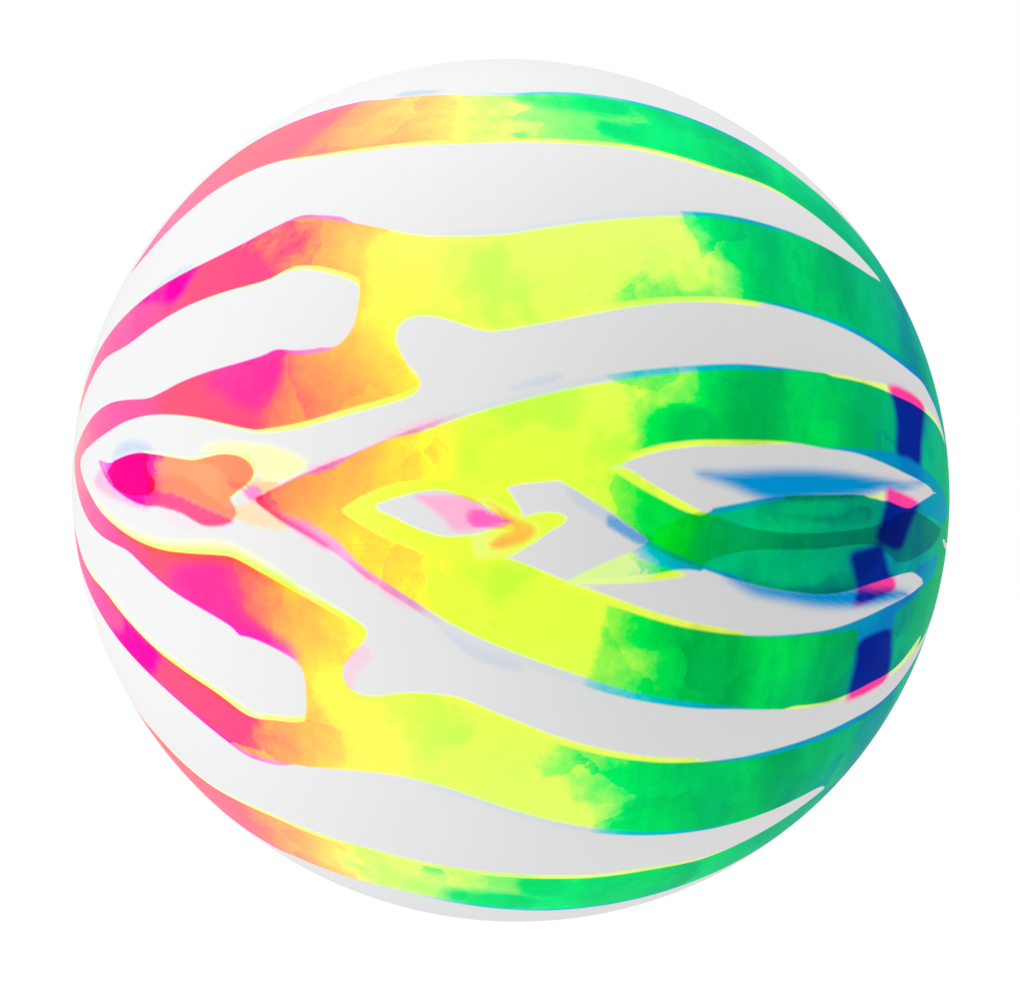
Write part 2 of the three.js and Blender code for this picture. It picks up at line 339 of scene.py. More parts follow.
def inside(corners, place):
    """Distance in degrees from each place to an outline, positive inside it."""
    curve = smooth_outline(corners)
    result = np.full(len(place), FAR_OUTSIDE)
    low = curve.min(axis=0) + FAR_OUTSIDE
    high = curve.max(axis=0) - FAR_OUTSIDE
    near = np.all((place > low) & (place < high), axis=1)
    point = place[near]
    nearest = np.full(len(point), np.inf)
    within = np.zeros(len(point), dtype=bool)
    for start, end in zip(curve, np.roll(curve, -1, axis=0)):
        edge = end - start
        from_start = point - start
        share = np.clip(from_start @ edge / max(edge @ edge, 1e-12), 0, 1)
        gap = from_start - share[:, None] * edge
        nearest = np.minimum(nearest, np.einsum("ij,ij->i", gap, gap))
        if start[1] != end[1]:
            between = (start[1] > point[:, 1]) != (end[1] > point[:, 1])
            crossing = start[0] + (point[:, 1] - start[1]) * edge[0] / edge[1]
            within ^= between & (point[:, 0] < crossing)
    distance = np.sqrt(nearest)
    result[near] = np.where(within, distance, -distance)
    return np.maximum(result, FAR_OUTSIDE)


def shifted(place, above, below):
    """Places moved across by a register error. Each list says how far an ink lies off, by along."""
    along, across = place.T
    up = np.interp(along, *zip(*above))
    down = np.interp(along, *zip(*below))
    return np.stack([along, across - np.where(across > 0, up, down)], axis=1)


def joined(*distances):
    return np.maximum.reduce(distances)


def without(distance, *others):
    return np.minimum.reduce([distance] + [-other for other in others])


def all_inside(outlines, at):
    return joined(*(inside(outline, at) for outline in outlines))


place = print_place(round_place)
yellow_place = shifted(
    place,
    above=((0, 0), (45, -0.1), (57, -0.3), (64, -0.7), (100, -0.9), (118, -0.7), (125, 0)),
    below=((0, 0.1), (38, 0.4), (50, 0.8), (100, 1), (115, 0.8), (125, 0)),
)
arms_place = shifted(
    place,
    above=((60, 0), (66, -0.2), (68, -0.7), (70, -0.7), (72, -0.2), (76, -0.1), (79, -0.6), (100, -0.9),
           (118, -0.7), (125, 0)),
    below=((60, 0.1), (64, 0.8), (67, 1.6), (71, 1.6), (74, 0.9), (80, 0.9), (100, 1.1), (115, 0.8),
           (125, 0)),
)
OUTER_BANDS = (MAIN_BANDS, TOP_BAND, BOTTOM_BAND)
PINK_SPILL = ((60, 3), (68, 0))  # how far the magenta may spill past the yellow, by along
PINK_ENDS = 84  # degrees along, where the last of the magenta fades out
PINK_FADE = 4  # these four make an edge softer by so many times
COLUMN_FADE = 4
BLOT_FADE = 3
LOOP_FADE = 2.5
SOFT_STRETCH = ((38, 0), (48, 1), (66, 1), (76, 0))  # where the loop's inner edge is soft, by along
SOFT_ACROSS = (-15, -1)
arms = inside(CROSSING_BANDS, place)
falling = inside(FALLING_ARM, place)
rising = inside(RISING_ARM, place)
columns = all_inside(COLUMNS, place)

yellow = all_inside(OUTER_BANDS, yellow_place)
magenta = all_inside(OUTER_BANDS, place)
magenta = np.minimum(magenta, yellow + np.interp(place[:, 0], *zip(*PINK_SPILL)))
magenta = joined(magenta, arms)
magenta = np.minimum(magenta, (PINK_ENDS - place[:, 0]) / PINK_FADE)
magenta = joined(magenta, inside(HOOK_PINK, place), inside(ORANGE_BLOT, place) / BLOT_FADE)
magenta = joined(magenta, columns / COLUMN_FADE)
yellow = joined(yellow, inside(CROSSING_BANDS, arms_place), falling, rising)
yellow = joined(yellow, inside(RING, place), inside(HOOK_YELLOW, place), inside(YELLOW_SLIVER, place))
yellow = without(yellow, inside(FISH, place), all_inside(BARE_CYAN, place), columns / COLUMN_FADE)
below_middle = (place[:, 1] > SOFT_ACROSS[0]) & (place[:, 1] < SOFT_ACROSS[1])
soft_side = np.interp(place[:, 0], *zip(*SOFT_STRETCH)) * below_middle
yellow = yellow / (1 + LOOP_FADE * soft_side)
cyan = joined(all_inside(OUTER_BANDS, place), arms, falling, rising)
cyan = without(cyan, all_inside(BARE_YELLOW, place))
crossed = np.minimum(falling, rising)

# patches where the magenta lies twice over a thinner yellow, and the washes lag
LOOP_TOP = ((52, 17.5), (60, 20), (61.5, 17), (60.5, 14), (58.5, 11.7), (55, 12.2), (53.5, 13.5),
            (51, 15))
LOOP_FOOT = ((50, -13.5), (54, -11), (57, -11.3), (58.5, -14), (60, -17.2), (66, -18.7),
             (66.5, -20.6), (59, -20.6), (50, -19), (47.5, -16))
UPPER_TAIL = ((34.5, 38), (45.2, 38), (44.8, 35.5), (43.5, 33), (41.5, 31.8), (40, 33), (37, 35),
              (35, 36.5))
LOWER_TAIL = ((39, -32.3), (46, -32.3), (46.3, -35), (45.3, -38.5), (43, -40.7), (35, -42.5),
              (35.5, -40.5), (38, -37), (38.5, -34))

# Soft smears of one ink: how much of it, over how many degrees its edge fades, and its outline.
YELLOW_SMEARS = (
    (0.6, 1.6, ((25, -9), (30, -11.2), (35, -12), (41, -11.8), (46, -10.8), (51, -9.2),
                (56, -7.6), (60, -8.1), (66, -10.2), (66, -12), (57, -10.4), (46, -13.4), (35, -14))),
    (0.5, 1.4, ((22, -37), (29, -33.6), (35, -31.1), (45, -31.1), (57, -30.9), (61.5, -31.7),
                (61.5, -33), (54, -32.6), (35, -33), (29, -35.6))),
    (0.55, 1.2, ((51, 5), (53, 6.2), (58, 6.8), (63, 6.4), (66.5, 4.8), (64, 2.6), (61, 1.8),
                 (59.5, 3.5), (57, 5), (54, 5))),
    (0.6, 0.4, ((59, 1.3), (59.8, 1.9), (63, 2), (61.3, 0.3), (59.9, 1.1))),
    (0.45, 0.8, ((57.5, -2.2), (61, -0.9), (64, -2.2), (64.5, -3.8), (60, -4.2), (57.5, -3.8))),
    (0.5, 0.8, ((42, -0.5), (43.8, -1.4), (43.8, -3.2), (42.3, -3.2))),
    (0.3, 0.5, ((55.4, -0.5), (56.6, -1.1), (56.2, -1.9), (55, -1.2))),
)
MAGENTA_SMEARS = (
    (0.5, 1.8, ((28, -7.6), (28.5, -4.5), (30.5, -2.8), (36, -5.3), (42, -6), (42.5, -7),
                (38, -7.6), (32, -8.2))),
    (0.14, 1.2, ((45, -6), (50, -6), (52, -6.7), (50, -7.6), (46, -7.4))),
    (0.74, 0.6, HOOK_TOE),
    (0.75, 0.35, ((58.2, 0.1), (59.6, 1.2), (61.1, 0.2), (59.7, -1))),
    (0.8, 0.35, ((58.8, -0.4), (59.3, 0.1), (61, -0.4), (59.9, -1.1))),
    (0.4, 0.35, ((59, 1.3), (59.8, 1.9), (63, 2), (61.3, 0.3), (59.9, 1.1))),
    (0.26, 0.6, ((57.5, -2.2), (61, -0.9), (64, -2.2), (64.5, -3.8), (60, -4.2), (57.5, -3.8))),
    (0.22, 0.4, ((43.7, -0.4), (48, 0.3), (51, -0.4), (53, -1.4), (56.5, -3.4), (52, -3.3),
                 (47.7, -2.8), (43.7, -3))),
    (0.2, 0.25, ((51.1, 3.4), (53.2, 4.6), (57.4, 4.8), (59.4, 3.2), (58.7, 1.2), (57.5, 0.1),
                 (56.3, 0.8), (55, 2.2), (53.2, 3.1))),
    (0.4, 0.3, ((55.6, 1.2), (57.3, 1.3), (59, 1.5), (57.5, 0.1), (56.3, 0.5))),
    (0.5, 0.8, ((66.5, 4.2), (68, 5.1), (70.5, 6.5), (70, 5.5), (68, 4.2))),
    (0.4, 0.8, ((75, 9.2), (79, 11.3), (82, 12.6), (81, 11.6), (78, 10))),
    (0.6, 0.8, ((63, -1.9), (67, -3.2), (70, -4.4), (69.7, -5.3), (66.5, -4), (63, -2.7))),
    (0.5, 0.7, ((73, -6.2), (75, -7), (76.5, -7.9), (75, -8))),
    (0.35, 0.8, ((76, -7.9), (79, -9.3), (80.5, -10.3), (78, -9.8))),
    (0.55, 0.8, ((79.5, 2.9), (84, 3.6), (87, 2.9), (88, 0.6), (84.5, -0.6), (83, 0.6), (81, 1.8))),
    (0.9, 0.7, ((85.7, 2.4), (88, 2.2), (90.6, 1.2), (87.8, 0.2), (85.8, 0.3))),
    (0.3, 0.5, ((74, -17.5), (76.3, -16), (76.3, -18), (75, -20), (74.6, -22.5), (73.4, -21.5))),
)
CYAN_SMEARS = (
    (0.3, 1.4, ((33, 0.5), (34, 3), (36, 4.6), (39, 5.1), (42, 4.5), (42, 3.4), (38, 3), (35, 1.6))),
    (0.2, 0.7, ((36, 37.8), (38, 39), (42, 39.2), (45, 38.4), (42, 37.8))),
    (0.3, 0.8, ((70, 65.4), (71, 66.3), (74, 65.6), (76, 64.4), (73, 64.2))),
    (0.18, 0.8, ((88, 16), (91, 17.6), (94, 18.8), (93, 17.6))),
    (0.15, 0.8, ((84, -12), (88, -13.6), (93, -15), (93, -16), (88, -15))),
    (0.16, 0.6, ((96, 5.8), (97.8, 5.6), (101, 3.9), (104, 2.4), (106.3, 1.2), (105.3, 0.4),
                 (103, 1.2), (100, 2.9), (97.2, 4.3))),
    (0.8, 0.5, ((101.5, 3.5), (104, 2.3), (106.3, 1.3), (105.3, 0.4), (103, 1.3), (101, 2.4))),
    (1.0, 2.0, ((111, 9.8), (115, 10.6), (119, 11.6), (125, 13), (132, 14.4), (138.2, 15.5),
                (145, 17.2), (150, 19.8), (145, 15.8), (140.7, 14.4), (135.4, 11.6), (129, 9.7),
                (123, 8.2), (119.5, 8), (115, 9))),
    (1.0, 2.2, ((116, -2.4), (121, -3.4), (127, -4), (136, -4.2), (140, -4.9), (145.4, -5.8),
                (150, -8.3), (143, -8.2), (136, -7.8), (130, -7), (125, -5.9), (120, -4.8))),
)
# where the yellow lies thinner
PALE_YELLOW = (
    (0.2, 3.0, ((112, 3), (118, 8), (126, 10), (138, 12.5), (156, 21), (162, 10), (156, -6),
                (140, -4), (128, -5.5), (114, -2.5))),
    (0.3, 1.5, ((97.5, -4.7), (101.4, -2.1), (105.5, 0.4), (108, -1.5), (106, -4), (101, -4.6))),
    (0.5, 3.0, LOOP_TOP),
    (0.5, 3.0, LOOP_FOOT),
    (0.8, 2.0, UPPER_TAIL),
    (0.8, 2.0, LOWER_TAIL),
)
# a second helping of an ink, where it looks brushed on twice
SECOND_MAGENTA = (
    (0.5, 2.6, LOOP_TOP),
    (0.5, 2.6, LOOP_FOOT),
    (0.95, 2.0, UPPER_TAIL),
    (0.95, 2.0, LOWER_TAIL),
)
SECOND_CYAN = (
    (0.45, 2.0, ((119, 8), (124, 9), (130, 10.2), (137, 11.8), (141, 10), (141, 2), (137, -3),
                 (131, -4.5), (124, -4), (118, -2.6), (120, 2))),
    (0.9, 1.2, ((122.9, 6), (125.7, 7), (131, 7.6), (133.7, 9.2), (137.4, 10.2), (137.8, 7.4),
                (134, 6.3), (130, 5.8), (126, 5.4))),
    (0.9, 0.8, ((122, 8.9), (127, 9.9), (133, 11.2), (134, 10.7), (130, 9.3), (124, 8.2))),
    (0.3, 3.0, ((112, -10), (112, -20), (121, -21.5), (121, -11))),
    (0.35, 3.0, ((132, -11), (131, -24.5), (138.5, -26), (138.5, -11))),
    (0.3, 3.0, ((124, 37), (126, 54), (132, 56), (130, 39))),
    (0.25, 3.0, ((142, 43), (145, 61), (150, 59), (147, 45))),
    (0.35, 3.0, ((122, -31), (122, -46), (132, -49), (131, -32))),
    (0.25, 3.0, ((115, 14), (114, 25), (121, 27), (121, 16))),
    (0.9, 1.4, ((124, -4.3), (129, -3.4), (132, -1.6), (136, -1.3), (136, -4.7), (130.7, -5))),
)
# where the washes run ahead (or lag): by how many degrees, and how soft the border is
WASH_LEADS = (
    (-2, 3.0, ((58, 0), (66, 9), (76, 16), (83, 18), (82, 4), (77, 1), (81, -3), (81, -16), (66, -9))),
    (-16, 0.8, ((86.5, 3.6), (90.5, 2.8), (94.2, 1.4), (93.4, -1.3), (90, -2.9), (86.5, -2.8))),
    (5.5, 2.2, ((104.3, 10.5), (104.6, 15.6), (108, 17.5), (112, 17), (112, 12.5), (107, 11.3))),
    (-3, 2.0, ((103, 17.5), (104, 21), (109, 22.5), (110.5, 18))),
    (7, 2.0, ((102, -6.5), (102.2, -11.8), (106, -12.5), (113, -12), (112, -8), (105, -6.5))),
    (3.5, 2.5, ((102, -11), (102, -19), (112, -21), (114, -11))),
    (4.5, 1.5, ((98.5, 8), (101, 3), (106, -0.5), (112, -2), (112, 5), (106, 7.5), (102, 9))),
    (-3.5, 2.0, ((107, 38.5), (107, 32.5), (114, 33.5), (114, 39))),
    (4, 2.4, ((86, 64), (85.5, 61), (90, 59.5), (98, 61), (98, 65), (91, 65.3))),
    (3.5, 2.4, ((95.5, 58.5), (95.5, 56), (100, 55.5), (101, 58.5))),
    (4, 1.6, ((78.5, 53.5), (79, 51.5), (86.5, 51.8), (86, 53.6))),
    (4.5, 2.4, ((88, -56.3), (93, -55.2), (98.5, -57), (98, -61.5), (89, -61.2))),
    (5, 2.0, ((96.5, -51), (101.5, -50.8), (102, -56), (97.5, -55.5))),
    (4, 1.6, ((81.5, -49.8), (88.5, -49.8), (88, -51.5), (82, -51.6))),
    (-6, 1.5, ((50, 64), (51, 70.5), (58, 68.8), (60, 66), (56, 62))),
    (-8, 3.0, LOOP_TOP),
    (-8, 3.0, LOOP_FOOT),
    (-8, 2.0, UPPER_TAIL),
    (-8, 2.0, LOWER_TAIL),
)


def smeared(smears):
    """The strongest of some soft patches, each an amount, the width of its edge and its outline."""
    total = np.zeros(len(place))
    for amount, fade, outline in smears:
        share = np.clip(inside(outline, place) / fade + 0.5, 0, 1)
        patch = amount * share * share * (3 - 2 * share)
        total = np.where(np.abs(patch) > np.abs(total), patch, total)
    return total


def add_attribute(piece, name, columns):
    attribute = piece.data.attributes.new(name, "FLOAT_VECTOR", "POINT")
    attribute.data.foreach_set("vector", np.stack(columns, axis=1).astype("f").ravel())


add_attribute(skin, "print_place", (place[:, 0], place[:, 1], smeared(WASH_LEADS)))
add_attribute(skin, "ink_edges", (yellow, magenta, cyan))
add_attribute(skin, "overprint", (crossed, inside(HOOK, place), np.zeros(len(place))))
add_attribute(
    skin, "ink_smears", (smeared(YELLOW_SMEARS), smeared(MAGENTA_SMEARS), smeared(CYAN_SMEARS))
)
add_attribute(
    skin, "second_washes", (smeared(SECOND_MAGENTA), smeared(SECOND_CYAN), smeared(PALE_YELLOW))
)


# ---- The vinyl and the inks ----------------------------------------------
# Soft vinyl with a satin shine and a faint orange peel from the mould. The daylight inks on it are
# brighter than the vinyl and lie in watery washes, each a little out of register. Part of their extra
# brightness is a painted glow: the inks give off a share of their own colour as emission, which stands
# in for daylight fluorescence.
WHITE_VINYL = (0.76, 0.76, 0.765)
# share of the ink colour given off as a painted glow
PAINTED_INK_GLOW = 0.22
INK_EDGE_SOFTNESS = 0.22  # degrees

YELLOW_INK = (
    (0, (1, 1, 0.7)), (16, (1, 1, 0.75)), (34, (0.92, 1, 0.72)), (42, (0.86, 1, 0.5)),
    (46, (0.86, 1, 0.36)), (52, (0.86, 1, 0.36)), (57, (0.86, 1, 0.40)), (61, (0.86, 1, 0.26)),
    (66, (0.86, 1, 0.15)), (72, (0.86, 1, 0.09)), (77, (0.86, 1, 0.05)), (82, (0.73, 1, 0.045)),
    (100, (0.73, 1, 0.055)), (125, (0.78, 1, 0.09)), (134, (0.8, 1, 0.13)), (140, (0.8, 1, 0.2)),
    (145, (0.8, 1, 0.3)), (152, (0.8, 1, 0.27)), (180, (0.8, 1, 0.24)),
)
MAGENTA_INK = (
    (0, (1, 0.3, 0.40)), (17, (1, 0.3, 0.42)), (24, (1, 0.15, 0.42)), (33, (1, 0.09, 0.42)),
    (47, (1, 0.08, 0.43)), (58, (1, 0.06, 0.45)), (61, (1, 0.12, 0.46)), (64, (1, 0.21, 0.50)),
    (68, (1, 0.34, 0.56)), (72, (1, 0.48, 0.65)), (76, (1, 0.64, 0.8)), (80, (1, 1, 1)),
    (112, (1, 1, 1)), (117, (1, 0.05, 0.33)), (180, (1, 0.05, 0.33)),
)
CYAN_INK = (
    (0, (1, 1, 1)), (80, (1, 1, 1)), (83, (0.93, 0.98, 1)), (103, (0.92, 0.98, 1)),
    (105.5, (0.4, 0.9, 0.95)), (108.5, (0.14, 0.86, 0.9)), (110, (0.0, 0.82, 0.85)),
    (114, (0.0, 0.7, 0.78)), (118, (0.0, 0.54, 0.75)), (121, (0.0, 0.55, 0.75)),
    (125, (0.0, 0.7, 0.75)), (129, (0.0, 0.58, 0.75)), (135, (0.0, 0.48, 0.75)),
    (139, (0.0, 0.46, 0.75)), (144, (0.0, 0.33, 0.78)), (149, (0.0, 0.30, 0.78)),
    (155, (0.0, 0.47, 0.72)), (160, (0.0, 0.5, 0.7)), (180, (0.0, 0.5, 0.7)),
)
CROSSED_INKS = (
    (0, (1, 1, 1)), (104, (0.8, 1, 0.5)), (108, (0.5, 0.95, 0.3)), (113, (0.5, 0.85, 0.35)),
    (118, (0.5, 0.72, 0.5)), (123, (0.5, 0.58, 0.55)), (150, (0.5, 0.55, 0.6)), (180, (0.5, 0.55, 0.6)),
)
HOOK_INK = (
    (0, (1, 0.3, 0.6)), (29, (1, 0.25, 0.6)), (31.5, (1, 0.12, 0.6)), (33.5, (1, 0.02, 0.58)),
    (42, (1, 0.02, 0.58)), (44, (1, 0.27, 0.4)), (50, (1, 0.3, 0.38)), (60, (1, 0.24, 0.28)),
    (180, (1, 0.24, 0.28)),
)
SMEARED_INKS = ((0.86, 1, 0.06), (1, 0.03, 0.42), (0, 0.42, 0.95))
SECOND_INKS = ((1, 0.02, 0.9), (0.3, 0.42, 0.62))
PALER_BY_DEGREE = 0.003  # the yellow thins away from the middle line
FULL_TO = 10.0  # degrees off the middle line, where the thinning starts
INNER_BANDS = (17.0, 23.0)  # degrees off the middle line, where they begin
OUTER_BANDS_BEGIN = (46.0, 51.0)
LIGHTER_PINK = 0.12  # how much less magenta the outermost bands carry
BARE_TINTS = ((0.84, 1, 1), (1, 0.62, 0.85))  # a warm ink with no other over it
STREAK_TINT = (0.7, 0.45, 0.8)
LIME_TINT = (0.6, 1, 0.8)
BROAD_RUN = 20.0  # degrees that the washes wander, in broad clouds, ragged edges and blots
RAGGED_RUN = 12.0
BLOT_RUN = 5.0
SWIRL = 0.02  # metres that the blots' edges are swirled
BROAD_GRAIN = 24  # grains to the metre
RAGGED_GRAIN = 120
BLOT_GRAIN = 48
SWIRL_GRAIN = 45
POLE_TO_POLE = 180.0  # degrees along
MOST_LEAD = 20.0  # degrees
INNER_LEAD = ((0, 0), (58, 0), (62, 0.24), (71, 0.3), (79, 0.05), (180, 0))  # shares of the most
OUTER_LEAD = (
    (0, 0), (60, 0), (78, 0.02), (80.5, 0.3), (84, 0.95), (90, 0.78), (95, 0.62),
    (100, 0.54), (105, 0.38), (110, 0.23), (125, 0.15), (160, 0.1), (180, 0),
)


def add_node(tree, kind, **settings):
    node = tree.nodes.new(kind)
    for name, value in settings.items():
        setattr(node, name, value)
    return node


def connect(tree, source, target):
    """Joins a socket, or sets a plain value, on another socket."""
    if isinstance(source, bpy.types.NodeSocket):
        tree.links.new(source, target)
    elif target.type == "RGBA":
        target.default_value = (*source, 1)
    else:
        target.default_value = source


def sum_up(tree, operation, first, second=0.0, third=0.0, clamp=False):
    node = add_node(tree, "ShaderNodeMath", operation=operation, use_clamp=clamp)
    for socket, source in zip(node.inputs, (first, second, third)):
        connect(tree, source, socket)
    return node.outputs[0]


def blend_colours(tree, mode, share, first, second):
    node = add_node(tree, "ShaderNodeMix", data_type="RGBA", blend_type=mode)
    connect(tree, share, node.inputs["Factor"])
    connect(tree, first, node.inputs[6])
    connect(tree, second, node.inputs[7])
    return node.outputs[2]


def smooth_step(tree, value, low, high, bottom=0.0, top=1.0):
    node = add_node(tree, "ShaderNodeMapRange", interpolation_type="SMOOTHSTEP")
    for name, source in (
        ("Value", value), ("From Min", low), ("From Max", high), ("To Min", bottom), ("To Max", top)
    ):
        connect(tree, source, node.inputs[name])
    return node.outputs["Result"]


def ramp_along(tree, along, stops):
    """A colour that changes along the print, given as (degrees, colour) stops."""
    node = add_node(tree, "ShaderNodeValToRGB")
    elements = node.color_ramp.elements
    while len(elements) < len(stops):
        elements.new(0.5)
    for element, (degrees, colour) in zip(elements, stops):
        element.position = degrees / POLE_TO_POLE
    for element, (degrees, colour) in zip(elements, stops):
        element.color = (*colour, 1)
    connect(tree, sum_up(tree, "DIVIDE", along, POLE_TO_POLE), node.inputs[0])
    return node.outputs["Color"]


def noise(tree, where, scale, detail=3.0, roughness=0.5):
    node = add_node(tree, "ShaderNodeTexNoise")
    connect(tree, where, node.inputs["Vector"])
    node.inputs["Scale"].default_value = scale
    node.inputs["Detail"].default_value = detail
    node.inputs["Roughness"].default_value = roughness
    return node.outputs["Fac"]


def attribute_parts(tree, name):
    node = add_node(tree, "ShaderNodeAttribute", attribute_name=name)
    parts = add_node(tree, "ShaderNodeSeparateXYZ")
    tree.links.new(node.outputs["Vector"], parts.inputs[0])
    return parts.outputs[:]


def new_group(name, inputs, outputs):
    group = bpy.data.node_groups.new(name, "ShaderNodeTree")
    for label, kind in inputs:
        group.interface.new_socket(label, in_out="INPUT", socket_type=kind)
    for label, kind in outputs:
        group.interface.new_socket(label, in_out="OUTPUT", socket_type=kind)
    entry = group.nodes.new("NodeGroupInput")
    way_out = group.nodes.new("NodeGroupOutput")
    return group, entry.outputs, way_out.inputs


def moulded_surface_group():
    """The faint orange peel and uneven shine of moulded vinyl."""
    group, given, result = new_group(
        "moulded_surface",
        (("Shine", "NodeSocketFloat"), ("Peel", "NodeSocketFloat")),
        (("Roughness", "NodeSocketFloat"), ("Height", "NodeSocketFloat")),
    )
    where = add_node(group, "ShaderNodeTexCoord").outputs["Object"]
    patches = noise(group, where, 18, detail=4)
    fine = noise(group, where, 420, detail=2)
    rough = sum_up(group, "MULTIPLY_ADD", patches, 0.14, -0.07)
    connect(group, sum_up(group, "ADD", given["Shine"], rough), result["Roughness"])
    waves = noise(group, where, 55, detail=1)
    peel = sum_up(group, "MULTIPLY_ADD", waves, 3.0, fine)
    connect(group, sum_up(group, "MULTIPLY", peel, given["Peel"]), result["Height"])
    return group


MOULDED_SURFACE = moulded_surface_group()


def use_moulded_surface(tree, shader, shine, peel, height):
    surface = add_node(tree, "ShaderNodeGroup", node_tree=MOULDED_SURFACE)
    surface.inputs["Shine"].default_value = shine
    surface.inputs["Peel"].default_value = peel
    connect(tree, surface.outputs["Roughness"], shader.inputs["Roughness"])
    bump = add_node(tree, "ShaderNodeBump")
    bump.inputs["Distance"].default_value = height
    bump.inputs["Strength"].default_value = 0.35
    connect(tree, surface.outputs["Height"], bump.inputs["Height"])
    connect(tree, bump.outputs["Normal"], shader.inputs["Normal"])


def new_material(name):
    material = bpy.data.materials.new(name)
    material.use_nodes = True
    tree = material.node_tree
    return material, tree, tree.nodes["Principled BSDF"]


def washed_along(tree, where, along, across, lead):
    """Along, pushed about so that the washes have cloudy patches and ragged borders."""
    broad = sum_up(tree, "SUBTRACT", noise(tree, where, BROAD_GRAIN, detail=2), 0.5)
    ragged = sum_up(tree, "SUBTRACT", noise(tree, where, RAGGED_GRAIN, detail=5, roughness=0.7), 0.5)
    warp = add_node(tree, "ShaderNodeTexNoise")
    connect(tree, where, warp.inputs["Vector"])
    warp.inputs["Scale"].default_value = SWIRL_GRAIN
    warp.inputs["Detail"].default_value = 4
    swirl = add_node(tree, "ShaderNodeVectorMath", operation="MULTIPLY_ADD")
    connect(tree, warp.outputs["Color"], swirl.inputs[0])
    connect(tree, (SWIRL, SWIRL, SWIRL), swirl.inputs[1])
    connect(tree, where, swirl.inputs[2])
    blots = add_node(tree, "ShaderNodeTexVoronoi")
    connect(tree, swirl.outputs[0], blots.inputs["Vector"])
    blots.inputs["Scale"].default_value = BLOT_GRAIN
    blot = add_node(tree, "ShaderNodeSeparateXYZ")
    connect(tree, blots.outputs["Color"], blot.inputs[0])
    blotted = sum_up(tree, "SUBTRACT", blot.outputs["X"], 0.5)
    run = sum_up(tree, "MULTIPLY_ADD", broad, BROAD_RUN, sum_up(tree, "MULTIPLY", ragged, RAGGED_RUN))
    run = sum_up(tree, "MULTIPLY_ADD", blotted, BLOT_RUN, run)
    # the bands far from the middle turn yellow and green sooner
    off_middle = sum_up(tree, "ABSOLUTE", across)
    spot = sum_up(tree, "ADD", along, run)
    washed = sum_up(tree, "ADD", spot, lead)
    outer = smooth_step(tree, off_middle, *OUTER_BANDS_BEGIN)
    inner = sum_up(tree, "SUBTRACT", smooth_step(tree, off_middle, *INNER_BANDS), outer)
    for stops, far_off in ((INNER_LEAD, inner), (OUTER_LEAD, outer)):
        grey_stops = [(degrees, (share, share, share)) for degrees, share in stops]
        sooner = sum_up(tree, "MULTIPLY", ramp_along(tree, spot, grey_stops), MOST_LEAD)
        washed = sum_up(tree, "MULTIPLY_ADD", sooner, far_off, washed)
    return washed


